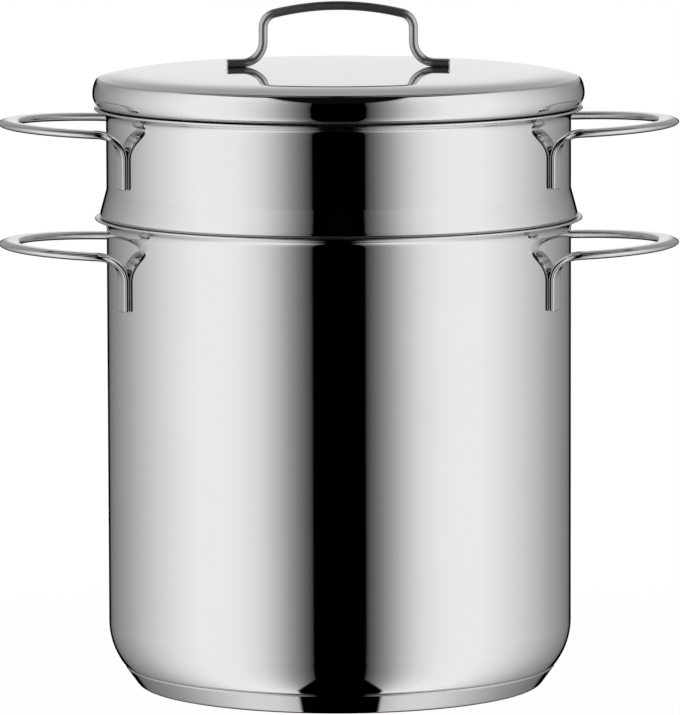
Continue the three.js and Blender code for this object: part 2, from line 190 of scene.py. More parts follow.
def fold(before, corner, after, radius):
    """Rounds the corner of two straight lines: the arc that touches both, on the inner side of the turn."""
    corner = np.array(corner)
    to_before = (np.array(before) - corner) / np.linalg.norm(np.array(before) - corner)
    to_after = (np.array(after) - corner) / np.linalg.norm(np.array(after) - corner)
    half = math.acos(np.clip(to_before @ to_after, -1, 1)) / 2
    bisector = (to_before + to_after) / np.linalg.norm(to_before + to_after)
    centre = corner + bisector * radius / math.sin(half)
    first = corner + to_before * radius / math.tan(half) - centre
    last = corner + to_after * radius / math.tan(half) - centre
    start = math.degrees(math.atan2(first[1], first[0]))
    sweep = math.degrees(math.atan2(first[0] * last[1] - first[1] * last[0], first @ last))
    return bend(centre, radius, start, start + sweep)


def profile(*pieces):
    """Joins pieces of profile end to end, and drops the points that repeat where they meet."""
    rows = np.vstack(pieces)
    step = np.linalg.norm(np.diff(rows[:, :2], axis=0), axis=1)
    return rows[np.concatenate(([True], step > SAME_PLACE))]


def inner_face(outer, thickness):
    """The other face of a sheet: each point moved back along its normal, in the opposite order."""
    points = outer[:, :2] - thickness * outer[:, 2:]
    return np.hstack((points, -outer[:, 2:]))[::-1]


def rolled_edge(outer_end, thickness, off_edge, from_inside):
    """The half round that closes a sheet's edge: middle of the sheet plus half its thickness times a ray
    that swings from one face's normal, past the direction off the edge, to the other face's normal."""
    normal = outer_end[2:]
    middle = outer_end[:2] - normal * thickness / 2
    swing = np.linspace(-math.pi / 2, math.pi / 2, EDGE_POINTS)[:, None]
    ray = np.cos(swing) * np.array(off_edge) + np.sin(swing) * normal
    rows = np.hstack((middle + ray * thickness / 2, ray))
    return rows if from_inside else rows[::-1]


def sheet_from_edge(outer, thickness):
    """A sheet whose outer face starts at a free edge: up the inner face, round the edge, down the outer."""
    off_edge = (-outer[0, 3], outer[0, 2])
    inner = inner_face(outer, thickness)
    edge = rolled_edge(outer[0], thickness, off_edge, True)
    return profile(inner, edge, outer), len(inner)


def sheet_to_edge(outer, thickness):
    """A sheet whose outer face ends at a free edge: along the outer face, round the edge, back inside."""
    off_edge = (outer[-1, 3], -outer[-1, 2])
    edge = rolled_edge(outer[-1], thickness, off_edge, False)
    return profile(outer, edge, inner_face(outer, thickness)), len(outer)


# Surfaces: points, normals, quads and the finish of each quad, as whole arrays

def grid_quads(rows, columns, wrap):
    """The quads of a grid of points, row after row, with the last column joined to the first if it wraps."""
    row = np.arange(rows - 1)[:, None]
    column = np.arange(columns if wrap else columns - 1)[None, :]
    beside = (column + 1) % columns
    corners = (row * columns + column, (row + 1) * columns + column,
               (row + 1) * columns + beside, row * columns + beside)
    return np.stack([np.broadcast_to(c, corners[0].shape) for c in corners], axis=-1).reshape(-1, 4)


def turned(outline, inside_rows=slice(0, 0)):
    """A profile carried round the axis: each row's radius times the cosine and sine of the turn, at its
    height, with the profile's normal turned in the same way."""
    turn = np.linspace(0, 2 * math.pi, TURN_STEPS, endpoint=False)
    radius, height, out, up = (column[:, None] for column in outline.T)
    ring = np.ones_like(turn)
    points = np.stack((radius * np.cos(turn), radius * np.sin(turn), height * ring), axis=-1)
    normals = np.stack((out * np.cos(turn), out * np.sin(turn), up * ring), axis=-1)
    finish = np.full(len(outline) - 1, OUTSIDE)
    finish[inside_rows] = INSIDE
    return {
        "points": points.reshape(-1, 3),
        "normals": normals.reshape(-1, 3),
        "quads": grid_quads(len(outline), TURN_STEPS, True),
        "finish": np.repeat(finish, TURN_STEPS),
    }


def joined(*surfaces):
    """Several surfaces as one, with each quad's corners counted on past the points before it."""
    starts = np.cumsum([0] + [len(s["points"]) for s in surfaces])[:-1]
    made = {key: np.concatenate([s[key] for s in surfaces]) for key in ("points", "normals", "finish")}
    made["quads"] = np.concatenate([s["quads"] + start for s, start in zip(surfaces, starts)])
    return made


def welded(surface):
    """Merges points at one place, so that poles and seams close; faces then have three or four corners."""
    place = np.round(surface["points"], WELD_DECIMALS) + 0.0
    _, first, merged = np.unique(place, axis=0, return_index=True, return_inverse=True)
    quads = merged.reshape(-1)[surface["quads"]]
    repeated = quads == np.roll(quads, 1, axis=1)
    kept = repeated.sum(axis=1) < 2
    faces = [[int(c) for c, again in zip(quad, same) if not again]
             for quad, same in zip(quads[kept], repeated[kept])]
    return surface["points"][first], surface["normals"][first], faces, surface["finish"][kept]


def steel_piece(name, surface, materials, body, node, exact_normals=True):
    """Puts a surface into a mesh that rides on a body in place of a CAD node."""
    points, normals, faces, finish = welded(surface)
    mesh = bpy.data.meshes.new(name)
    mesh.from_pydata(points.tolist(), [], faces)
    mesh.polygons.foreach_set("material_index", finish.astype(np.int32))
    mesh.polygons.foreach_set("use_smooth", np.ones(len(faces), dtype=bool))
    for material in materials:
        mesh.materials.append(material)
    mesh.update()
    if exact_normals:
        mesh.normals_split_custom_set_from_vertices(normals.tolist())
    made = bpy.data.objects.new(name, mesh)
    bpy.context.scene.collection.objects.link(made)
    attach(made, body)
    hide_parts(node)


# Shells

def flared_rim(rim_height, land):
    """A lip that runs level to the flare's arc, which turns it down into the wall."""
    centre = (WALL_RADIUS + FLARE_RADIUS, rim_height - SHEET - FLARE_RADIUS)
    level = centre[1] + FLARE_RADIUS
    lip = stretch((centre[0] + land, level), (centre[0], level))
    return profile(lip, bend(centre, FLARE_RADIUS, 90, 180))


def seated_centre(rim_height, round_radius, overhang):
    """Centre of a round edge that sits on a flared rim, a seat gap above it: by Pythagoras from the flare."""
    flare_height = rim_height - SHEET - FLARE_RADIUS
    reach = FLARE_RADIUS + SHEET + SEAT_GAP + round_radius
    radius = WALL_RADIUS + overhang - round_radius
    across = WALL_RADIUS + FLARE_RADIUS - radius
    return np.array((radius, flare_height + math.sqrt(reach ** 2 - across ** 2)))


def pot_corner():
    """Centre of the round corner between the pot's wall and its floor, from the knuckle below it."""
    drop = (POT_CORNER_RADIUS - POT_KNUCKLE_RADIUS) * math.sin(math.radians(POT_KNUCKLE_ANGLE))
    return np.array((WALL_RADIUS - POT_CORNER_RADIUS, BASE_HEIGHT + POT_KNUCKLE_RADIUS + drop))


def on_ray(centre, distance, degrees):
    """The point at a distance from a centre, along the ray at an angle."""
    angle = math.radians(degrees)
    return np.array(centre) + distance * np.array((math.cos(angle), math.sin(angle)))


def pot_surface():
    """Rim, wall, corner arc, tighter knuckle arc and flat floor, turned as one sheet."""
    corner = pot_corner()
    knuckle = on_ray(corner, POT_CORNER_RADIUS - POT_KNUCKLE_RADIUS, -POT_KNUCKLE_ANGLE)
    rim = flared_rim(POT_RIM_HEIGHT, POT_LIP_LAND)
    outer = profile(
        rim,
        stretch(rim[-1, :2], (WALL_RADIUS, corner[1])),
        bend(corner, POT_CORNER_RADIUS, 0, -POT_KNUCKLE_ANGLE),
        bend(knuckle, POT_KNUCKLE_RADIUS, -POT_KNUCKLE_ANGLE, -90),
        stretch((knuckle[0], BASE_HEIGHT), (0, BASE_HEIGHT)),
    )
    outline, inside = sheet_from_edge(outer, SHEET)
    return turned(outline, slice(0, inside))


def cap_face(seam_radius, seam_height, edge_radius, shoulder_radius):
    """The base's side: a short upright land, a leaning side and a round lower edge, then flat to the axis."""
    lean = math.radians(CAP_SIDE_ANGLE)
    land = (seam_radius, seam_height - CAP_LAND)
    fall = land[1] - edge_radius * (1 - math.sin(lean))
    side_end = np.array((land[0] - fall * math.tan(lean), land[1] - fall))
    edge = side_end - edge_radius * np.array((math.cos(lean), -math.sin(lean)))
    shoulder = fold((seam_radius, seam_height), land, side_end, shoulder_radius)
    return profile(
        stretch((seam_radius, seam_height), shoulder[0, :2]),
        shoulder,
        stretch(shoulder[-1, :2], side_end),
        bend(edge, edge_radius, -CAP_SIDE_ANGLE, -90),
        stretch((edge[0], edge[1] - edge_radius), (0, edge[1] - edge_radius)),
    )


def seam_place():
    """Where the cap meets the pot: on the corner's circle, a seat gap under the pot's floor."""
    corner = pot_corner()
    height = BASE_HEIGHT - SEAT_GAP
    return corner[0] + math.sqrt(POT_CORNER_RADIUS ** 2 - (corner[1] - height) ** 2), height


def cap_surface():
    """The cap's outer face and its sheet, turned; the flat underside takes the inside finish."""
    outer = cap_face(*seam_place(), CAP_EDGE_RADIUS, CAP_SHOULDER_RADIUS)
    outline, inside = sheet_from_edge(outer, CAP_SHEET)
    surface = turned(outline, slice(0, inside))
    level = surface["points"][surface["quads"]][:, :, 2].max(axis=1)
    surface["finish"][level < SAGITTA] = INSIDE
    return surface


def core_surface():
    """The disc inside the cap: the cap's inner face moved in by a seat gap, closed by a flat top."""
    outer = cap_face(*seam_place(), CAP_EDGE_RADIUS, CAP_SHOULDER_RADIUS)
    face = inner_face(outer, CAP_SHEET + SEAT_GAP)[::-1]
    face[:, 2:] = -face[:, 2:]
    top = face[0, 1]
    rim = fold((0, top), face[0, :2], face[1, :2], CORE_RIM_RADIUS)
    return turned(profile(stretch((0, top), rim[0, :2]), rim, face[1:]))


def insert_upper():
    """Rim, collar, cone, rolled foot, shoulder and the plain top of the basket, down to the first holes."""
    foot = seated_centre(POT_RIM_HEIGHT, FOOT_ROLL_RADIUS, FOOT_OVERHANG)
    cone_top = np.array((WALL_RADIUS, foot[1] + FOOT_CONE_HEIGHT))
    to_cone = cone_top - foot
    distance = np.linalg.norm(to_cone)
    cone_end = math.degrees(math.atan2(to_cone[1], to_cone[0]) - math.acos(FOOT_ROLL_RADIUS / distance))
    cone_foot = on_ray(foot, FOOT_ROLL_RADIUS, cone_end)
    shoulder = (BASKET_RADIUS + BASKET_SHOULDER_RADIUS, foot[1] - FOOT_ROLL_RADIUS - BASKET_SHOULDER_RADIUS)
    rim = flared_rim(INSERT_RIM_HEIGHT, INSERT_LIP_LAND)
    crease = fold(rim[-1, :2], cone_top, cone_foot, FOOT_CONE_FOLD_RADIUS)
    return profile(
        rim,
        stretch(rim[-1, :2], crease[0, :2]),
        crease,
        stretch(crease[-1, :2], cone_foot),
        bend(foot, FOOT_ROLL_RADIUS, cone_end, -90),
        stretch((foot[0], foot[1] - FOOT_ROLL_RADIUS), (shoulder[0], foot[1] - FOOT_ROLL_RADIUS)),
        bend(shoulder, BASKET_SHOULDER_RADIUS, 90, 180),
        stretch((BASKET_RADIUS, shoulder[1]), (BASKET_RADIUS, wall_zone()[1])),
    )


def insert_lower():
    """The plain foot of the basket wall, its round corner and the rim of its floor."""
    corner = (BASKET_RADIUS - BASKET_CORNER_RADIUS, BASKET_FLOOR + BASKET_CORNER_RADIUS)
    floor_edge = (FLOOR_RINGS + 0.5) * FLOOR_PITCH
    return profile(
        stretch((BASKET_RADIUS, wall_zone()[0]), (BASKET_RADIUS, corner[1])),
        bend(corner, BASKET_CORNER_RADIUS, 0, -90),
        stretch((corner[0], BASKET_FLOOR), (floor_edge, BASKET_FLOOR)),
    )


def insert_middle():
    """The floor round its middle hole: in along the underside, up through the hole, out along the top."""
    inner = BASKET_FLOOR + SHEET
    edge = HOLE_RADIUS + HOLE_EDGE_ROUND
    return profile(
        stretch((FLOOR_PITCH / 2, BASKET_FLOOR), (edge, BASKET_FLOOR)),
        stretch((HOLE_RADIUS, BASKET_FLOOR + HOLE_EDGE_ROUND), (HOLE_RADIUS, inner - HOLE_EDGE_ROUND)),
        stretch((edge, inner), (FLOOR_PITCH / 2, inner)),
    )


def wall_zone():
    """Lowest and highest level of the drilled part of the basket's wall, half a pitch past its rows."""
    low = WALL_START - WALL_PITCH / 2
    return low, low + WALL_ROWS * WALL_PITCH


def cell_rings(border):
    """Rings of a drilled cell: the cell's border on the outer face, the hole's collar and rounded edge, the
    hole's wall, and the same on the inner face. Each ring's points lie on the rays to the border's points.
    Returns the places across and along the cell, the depth, and the normal in the same three directions."""
    ray = border / np.linalg.norm(border, axis=1, keepdims=True)
    edge = HOLE_RADIUS + HOLE_EDGE_ROUND
    collar = edge + HOLE_COLLAR
    rings = (border, ray * collar, ray * edge, ray * HOLE_RADIUS)
    places = np.stack(rings + rings[::-1])
    depths = np.array((0, 0, 0, HOLE_EDGE_ROUND, SHEET - HOLE_EDGE_ROUND, SHEET, SHEET, SHEET))
    out = np.array((1, 1, 1, 0, 0, -1, -1, -1))
    normals = np.zeros((*places.shape[:2], 3))
    normals[3:5, :, :2] = -ray
    normals[:, :, 2] = out[:, None]
    return places, depths, normals


def cell_border(low, high, bottom, top, arc_steps):
    """A cell's border in two coordinates, anticlockwise from its lower left corner, in even steps."""
    across = np.linspace(low, high, arc_steps, endpoint=False)
    along = np.linspace(bottom, top, CELL_SIDE_STEPS, endpoint=False)
    right = np.column_stack((np.full(CELL_SIDE_STEPS, high), along))
    left = np.column_stack((np.full(CELL_SIDE_STEPS, low), along[::-1] + (top - bottom) / CELL_SIDE_STEPS))
    lower = np.column_stack((across, np.full(arc_steps, bottom)))
    upper = np.column_stack((low + high - across, np.full(arc_steps, top)))
    return np.concatenate((lower, right, upper, left))


def cells_surface(points, normals):
    """Drilled cells, given as arrays of cell, ring and place on the ring, as one surface. The outer face and
    the hole's wall take the outside finish."""
    cells, rings, places = points.shape[:3]
    quads = grid_quads(rings, places, True)[:, ::-1]
    finish = np.repeat(np.where(np.arange(rings - 1) < CELL_STEPS_OUTSIDE, OUTSIDE, INSIDE), places)
    starts = np.arange(cells)[:, None, None] * rings * places
    return {
        "points": points.reshape(-1, 3),
        "normals": normals.reshape(-1, 3),
        "quads": (quads[None] + starts).reshape(-1, 4),
        "finish": np.tile(finish, cells),
    }


def drilled_wall():
    """Staggered rows of drilled cells wrapped round the basket: distance across a cell over the radius is
    the angle, distance along it the height, and depth comes off the radius."""
    half_turn = math.pi / WALL_COLUMNS
    half_width = half_turn * BASKET_RADIUS
    steps = TURN_STEPS // WALL_COLUMNS
    border = cell_border(-half_width, half_width, -WALL_PITCH / 2, WALL_PITCH / 2, steps)
    places, depths, normals = cell_rings(border)
    row, column = np.divmod(np.arange(WALL_ROWS * WALL_COLUMNS), WALL_COLUMNS)
    middle = (column + (row % 2) / 2) * 2 * half_turn
    angle = middle[:, None, None] + places[None, :, :, 0] / BASKET_RADIUS
    height = (WALL_START + row * WALL_PITCH)[:, None, None] + places[None, :, :, 1]
    radius = (BASKET_RADIUS - depths)[None, :, None]
    points = np.stack((radius * np.cos(angle), radius * np.sin(angle), height), axis=-1)
    outward = np.stack((np.cos(angle), np.sin(angle), np.zeros_like(angle)), axis=-1)
    around = np.stack((-np.sin(angle), np.cos(angle), np.zeros_like(angle)), axis=-1)
    upward = np.broadcast_to((0.0, 0.0, 1.0), outward.shape)
    turned_normals = (normals[None, :, :, 0:1] * around + normals[None, :, :, 1:2] * upward
                      + normals[None, :, :, 2:3] * outward)
    return cells_surface(points, turned_normals)


def drilled_ring(ring):
    """One ring of drilled cells in the basket's floor: a cell is a piece of an annulus about its hole, and
    each is the first one turned about the axis."""
    count = ring * FLOOR_HOLES_PER_RING
    half_turn = math.pi / count
    radius = ring * FLOOR_PITCH
    polar = cell_border(-half_turn, half_turn, radius - FLOOR_PITCH / 2, radius + FLOOR_PITCH / 2,
                        TURN_STEPS // count)
    border = np.column_stack((polar[:, 1] * np.sin(polar[:, 0]), polar[:, 1] * np.cos(polar[:, 0]) - radius))
    places, depths, normals = cell_rings(border)
    turn = (np.arange(count) * 2 * half_turn)[:, None, None]
    across = places[None, :, :, 0]
    reach = radius + places[None, :, :, 1]
    height = np.broadcast_to((BASKET_FLOOR + depths)[None, :, None], (count, *across.shape[1:]))
    points = np.stack((reach * np.cos(turn) - across * np.sin(turn),
                       reach * np.sin(turn) + across * np.cos(turn), height), axis=-1)
    flat = normals[None]
    turned_normals = np.stack((
        flat[..., 1] * np.cos(turn) - flat[..., 0] * np.sin(turn),
        flat[..., 1] * np.sin(turn) + flat[..., 0] * np.cos(turn),
        np.broadcast_to(-flat[..., 2], (count, *across.shape[1:])),
    ), axis=-1)
    return cells_surface(points, turned_normals)


def insert_surface():
    """The insert's plain stretches, turned, joined to the drilled wall and the drilled floor."""
    upper, inside = sheet_from_edge(insert_upper(), SHEET)
    lower = insert_lower()
    within = inner_face(lower, SHEET)
    floor_rings = [drilled_ring(ring) for ring in range(1, FLOOR_RINGS + 1)]
    return joined(
        turned(upper, slice(0, inside)),
        drilled_wall(),
        turned(lower),
        turned(within, slice(None)),
        *floor_rings,
        turned(insert_middle(), slice(-1, None)),
    )


def lid_form():
    """Centres of the lid's round band and of its flatter shoulder, the edge between shoulder and slope, and
    the centre and radius of the cap's dome, the sphere that rises from the slope's upper end to the crown."""
    band = seated_centre(INSERT_RIM_HEIGHT, LID_BAND_RADIUS, LID_BAND_OVERHANG)
    shoulder = band - (LID_SHOULDER_RADIUS - LID_BAND_RADIUS, 0)
    edge = on_ray(shoulder, LID_SHOULDER_RADIUS, LID_EDGE_ANGLE)
    slope_rise = (edge[0] - LID_CAP_RADIUS) * math.tan(math.radians(LID_SLOPE_ANGLE))
    dome_radius = (LID_CAP_RADIUS ** 2 + LID_CAP_RISE ** 2) / (2 * LID_CAP_RISE)
    dome = np.array((0, edge[1] + slope_rise + LID_CAP_RISE - dome_radius))
    return band, shoulder, edge, dome, dome_radius


def slope_round(on_slope, centre, radius, round_radius):
    """A round that touches the lid's slope and a circle from inside: its centre, and the angle at which it
    meets the circle. The centre is on the slope moved in by the round's radius, and as far from the circle's
    centre as the two radii differ, which is a quadratic for the distance along the slope."""
    fall = math.radians(LID_SLOPE_ANGLE)
    along = np.array((math.cos(fall), -math.sin(fall)))
    start = on_slope - round_radius * np.array((math.sin(fall), math.cos(fall)))
    offset = start - centre
    lead = offset @ along
    root = math.sqrt(lead ** 2 - offset @ offset + (radius - round_radius) ** 2)
    middle = start + (math.copysign(root, lead) - lead) * along
    to_middle = middle - centre
    return middle, math.degrees(math.atan2(to_middle[1], to_middle[0]))


def lid_surface():
    """Dome, a soft round to the slope, a small one to the shoulder, the shoulder's and the band's arc, the
    neck's arc and the plug-in skirt, as one sheet."""
    band, shoulder, edge, dome, dome_radius = lid_form()
    steep = 90 - LID_SLOPE_ANGLE
    cap_round, dome_end = slope_round(edge, dome, dome_radius, LID_CAP_ROUND)
    edge_round, shoulder_start = slope_round(edge, shoulder, LID_SHOULDER_RADIUS, LID_EDGE_ROUND)
    neck = (band[0], band[1] - LID_BAND_RADIUS - LID_NECK_RADIUS)
    skirt = band[0] - LID_NECK_RADIUS
    outer = profile(
        bend(dome, dome_radius, 90, dome_end),
        bend(cap_round, LID_CAP_ROUND, dome_end, steep),
        bend(edge_round, LID_EDGE_ROUND, steep, shoulder_start),
        bend(shoulder, LID_SHOULDER_RADIUS, shoulder_start, 0),
        bend(band, LID_BAND_RADIUS, 0, -90),
        bend(neck, LID_NECK_RADIUS, 90, 180),
        stretch((skirt, neck[1]), (skirt, neck[1] - LID_SKIRT_DEPTH)),
    )
    outer[0, 0] = 0
    outline, outside = sheet_to_edge(outer, LID_SHEET)
    return turned(outline, slice(outside + EDGE_POINTS - 2, None))


# Bent wire and rod

def wire_frames(path, across):
    """Unit directions along a path and square to it: the steps' direction, the given one less its share
    along the path, and the one square to both."""
    along = np.gradient(path, axis=0)
    along /= np.linalg.norm(along, axis=1, keepdims=True)
    side = across - (across * along).sum(axis=1, keepdims=True) * along
    side /= np.linalg.norm(side, axis=1, keepdims=True)
    return along, side, np.cross(along, side)


def wire_rings(path, across, width, depth, power=2.0):
    """A section carried along a path: path plus shares of the two square directions. The shares go round a
    superellipse, half the width and depth times cosine and sine raised to 2 over the power, which is round
    or oval for a power of 2 and squarer above it. Each may change along the path. A bevelled ring and a ring
    drawn to a point close each end. Array of ring, side, xyz."""
    along, side, rise = wire_frames(path, across)
    last = len(path) - 1
    station = np.concatenate(([0, 0], np.arange(last + 1), [last, last]))
    sizes = (np.broadcast_to(size, len(path))[station, None] for size in (width, depth, power))
    width, depth, power = sizes
    bevel = WIRE_END_BEVEL * 2 / depth.min()
    scale = np.concatenate(([0, 1 - bevel], np.ones(last + 1), [1 - bevel, 0]))
    shift = np.concatenate(([0, 0, 1], np.zeros(last - 1), [-1, 0, 0])) * WIRE_END_BEVEL
    turn = np.linspace(0, 2 * math.pi, WIRE_SIDES, endpoint=False)
    wide = scale[:, None] * width / 2 * np.sign(np.cos(turn)) * np.abs(np.cos(turn)) ** (2 / power)
    deep = scale[:, None] * depth / 2 * np.sign(np.sin(turn)) * np.abs(np.sin(turn)) ** (2 / power)
    middle = (path[station] + shift[:, None] * along[station])[:, None]
    return middle + wide[..., None] * side[station][:, None] + deep[..., None] * rise[station][:, None]


def wire_surface(rings):
    """The rings of a wire as one surface, in the order that turns its faces outward."""
    count, sides = rings.shape[:2]
    return {
        "points": rings.reshape(-1, 3),
        "normals": np.zeros((count * sides, 3)),
        "quads": grid_quads(count, sides, True)[:, ::-1],
        "finish": np.full((count - 1) * sides, OUTSIDE),
    }


def even_path(path, step):
    """Rows of a path spaced evenly by its length, with whatever each row has beside its point."""
    length = np.concatenate(([0], np.cumsum(np.linalg.norm(np.diff(path[:, :3], axis=0), axis=1))))
    count = math.ceil(length[-1] / step) + 1
    even = np.linspace(0, length[-1], count)
    return np.column_stack([np.interp(even, length, column) for column in path.T])


def bezier(start, pull_start, pull_end, end, t):
    """The cubic curve from start to end that leaves towards one pull and arrives from the other."""
    return ((1 - t) ** 3 * start + 3 * (1 - t) ** 2 * t * pull_start
            + 3 * (1 - t) * t ** 2 * pull_end + t ** 3 * end)


def loop_half(level, leg_angle):
    """One half of a side handle: up the leg on the wall, over a bend, and along the loop's circle to its
    tip, climbing with the distance out. Each row is the rod's centre, the level direction it heads in, which
    on the bend goes over evenly from the leg's, straight out, to the circle's, and how far it is pressed,
    from all on the leg to not at all on the circle."""
    leg = math.radians(leg_angle)
    radial = np.array((math.cos(leg), math.sin(leg), 0))
    foot = radial * (WALL_RADIUS - WELD_SINK + LEG_THICKNESS / 2) + (0, 0, level - LOOP_LEG_DROP)
    top = foot + (0, 0, LOOP_LEG_DROP - LOOP_BEND_HEIGHT)
    angle = np.radians(np.linspace(LOOP_HALF_ANGLE, 0, LOOP_STEPS))
    circle = np.column_stack((LOOP_CENTRE + LOOP_RADIUS * np.cos(angle), LOOP_RADIUS * np.sin(angle),
                              level + LOOP_RISE * np.cos(angle)))
    heading = np.gradient(circle, axis=0)
    heading /= np.linalg.norm(heading, axis=1, keepdims=True)
    share = np.linspace(0, 1, BEND_STEPS)[:, None]
    pull_up = top + (0, 0, LOOP_BEND_PULL_UP)
    pull_out = circle[0] - heading[0] * LOOP_BEND_PULL_OUT
    over = bezier(top, pull_up, pull_out, circle[0], share)
    return np.concatenate((
        np.hstack((foot + share * (top - foot), radial + 0 * share, np.ones_like(share)))[:-1],
        np.hstack((over, radial + share * (heading[0] - radial), 1 - share))[:-1],
        np.hstack((circle, heading, np.zeros((LOOP_STEPS, 1)))),
    ))


def loop_surface(level, leg_angle, side):
    """A side handle: both halves as one rod with its width level, oval on the loop and pressed to flat bar
    on the legs, and an oval weld bead behind each leg. The handle on the other side is the same, turned half
    a turn."""
    half = loop_half(level, leg_angle)
    other_half = half[-2::-1] * (1, -1, 1, -1, 1, -1, 1)
    rod = even_path(np.concatenate((half, other_half)), LOOP_ROD_STEP)
    across = np.cross((0, 0, 1), rod[:, 3:6])
    pressed = rod[:, 6]
    width = LOOP_WIDTH + pressed * (LEG_WIDTH - LOOP_WIDTH)
    depth = LOOP_THICKNESS + pressed * (LEG_THICKNESS - LOOP_THICKNESS)
    power = LOOP_SQUARENESS + pressed * (LEG_SQUARENESS - LOOP_SQUARENESS)
    wires = [wire_surface(wire_rings(rod[:, :3], across, width, depth, power))]
    for mirror in (1, -1):
        wires.append(weld_bead(level, mirror * leg_angle))
    surface = joined(*wires)
    surface["points"] = surface["points"] * (side, side, 1)
    return surface


def weld_bead(level, leg_angle):
    """The weld between a leg and the wall: an oval section along the leg, in the gap behind it."""
    leg = math.radians(leg_angle)
    outward = np.array((math.cos(leg), math.sin(leg), 0))
    base = outward * (WALL_RADIUS + SEAT_GAP / 2)
    low = level - LOOP_LEG_DROP + BEAD_INSET
    high = level - LOOP_BEND_HEIGHT
    heights = np.linspace(low, high, BEAD_STEPS)
    path = base + np.column_stack((np.zeros((BEAD_STEPS, 2)), heights))
    around = np.tile((-math.sin(leg), math.cos(leg), 0), (BEAD_STEPS, 1))
    return wire_surface(wire_rings(path, around, BEAD_WIDTH, BEAD_DEPTH))


def lid_handle_path():
    """The lid handle's centre line in X and Z: foot on the dome, bend, bend, and the shallow arch."""
    *_, dome, dome_radius = lid_form()
    crown = dome[1] + dome_radius
    foot_x = LID_HANDLE_HALF_SPAN + LID_LOWER_BEND
    reach = dome_radius - WELD_SINK + LID_FOOT_THICKNESS / 2 + LID_LOWER_BEND
    tilt = math.degrees(math.asin(foot_x / reach))
    lower = (-foot_x, dome[1] + reach * math.cos(math.radians(tilt)))
    arch_height = crown + SEAT_GAP + LID_HANDLE_HEIGHT - LID_ARCH_RADIUS
    upper_x = LID_HANDLE_HALF_SPAN - LID_UPPER_BEND
    upper_reach = LID_ARCH_RADIUS - LID_UPPER_BEND
    upper = (-upper_x, arch_height + math.sqrt(upper_reach ** 2 - upper_x ** 2))
    lean = math.degrees(math.asin(upper_x / upper_reach))
    foot_start = on_ray(lower, LID_LOWER_BEND, tilt - 90)
    foot_end = on_ray(foot_start, -LID_FOOT_LENGTH, tilt)
    half = profile(
        stretch(foot_end, foot_start),
        bend(lower, LID_LOWER_BEND, tilt - 90, 0),
        stretch((-LID_HANDLE_HALF_SPAN, lower[1]), (-LID_HANDLE_HALF_SPAN, upper[1])),
        bend(upper, LID_UPPER_BEND, 180, 90 + lean),
        bend((0, arch_height), LID_ARCH_RADIUS, 90 + lean, 90),
    )[:, :2]
    line = np.concatenate((half, half[-2::-1] * (-1, 1)))
    return np.column_stack((line[:, 0], np.zeros(len(line)), line[:, 1]))


def lid_handle_surface():
    """The handle's wire, with its ends pressed: near the feet, height over the dome is scaled down and
    width across the wire up, both eased in by a smooth step of the distance from the axis."""
    *_, dome, dome_radius = lid_form()
    path = even_path(lid_handle_path(), LID_WIRE_STEP)
    rings = wire_rings(path, np.tile((0.0, 1.0, 0.0), (len(path), 1)), LID_WIRE, LID_WIRE)
    flat = LID_HANDLE_HALF_SPAN + LID_LOWER_BEND
    share = np.clip((np.abs(rings[..., :1]) - flat + LID_FOOT_BLEND) / LID_FOOT_BLEND, 0, 1)
    share = share ** 2 * (3 - 2 * share)
    centre = np.array((0, 0, dome[1]))
    middle = dome_radius - WELD_SINK + LID_FOOT_THICKNESS / 2
    out = rings - centre
    distance = np.linalg.norm(out, axis=-1, keepdims=True)
    pressed = middle + (distance - middle) * (1 + share * (LID_FOOT_THICKNESS / LID_WIRE - 1))
    rings = centre + out / distance * pressed
    rings[..., 1:2] *= 1 + share * (LID_FOOT_SPREAD_RATIO - 1)
    return wire_surface(rings)


# Materials

HAZE_RANGE = (0.35, 0.68)
CLOUDS_PER_METRE = 28
HAZE_SHARE = 0.6
LINES_SHARE = 0.4


def maths(tree, operation, first, second=0.0):
    """A Math node; numbers are set on its sockets and sockets are linked."""
    made = tree.nodes.new("ShaderNodeMath")
    made.operation = operation
    for socket, value in zip(made.inputs, (first, second)):
        if isinstance(value, (int, float)):
            socket.default_value = value
        else:
            tree.links.new(value, socket)
    return made.outputs[0]


def axis_distance(tree, x, y):
    """The root of the sum of two squares."""
    squares = maths(tree, "ADD", maths(tree, "MULTIPLY", x, x), maths(tree, "MULTIPLY", y, y))
    return maths(tree, "SQRT", squares)


def spread(tree, value, from_low, from_high, to_low, to_high, smooth=False):
    """A Map Range node from one range of a value to another."""
    made = tree.nodes.new("ShaderNodeMapRange")
    made.interpolation_type = "SMOOTHSTEP" if smooth else "LINEAR"
    tree.links.new(value, made.inputs["Value"])
    made.inputs["From Min"].default_value = from_low
    made.inputs["From Max"].default_value = from_high
    made.inputs["To Min"].default_value = to_low
    made.inputs["To Max"].default_value = to_high
    return made.outputs["Result"]


def tint(tree, mask, low, high):
    """A colour between two, by a mask."""
    made = tree.nodes.new("ShaderNodeMix")
    made.data_type = "RGBA"
    tree.links.new(mask, made.inputs["Factor"])
    made.inputs["A"].default_value = (*low, 1)
    made.inputs["B"].default_value = (*high, 1)
    return made.outputs["Result"]


def effect(name, inputs, outputs):
    """An empty shader node group with named number sockets, and its first and last node."""
    tree = bpy.data.node_groups.new(name, "ShaderNodeTree")
    for label in inputs:
        tree.interface.new_socket(label, in_out="INPUT", socket_type="NodeSocketFloat")
    for label in outputs:
        tree.interface.new_socket(label, in_out="OUTPUT", socket_type="NodeSocketFloat")
    return tree, tree.nodes.new("NodeGroupInput"), tree.nodes.new("NodeGroupOutput")


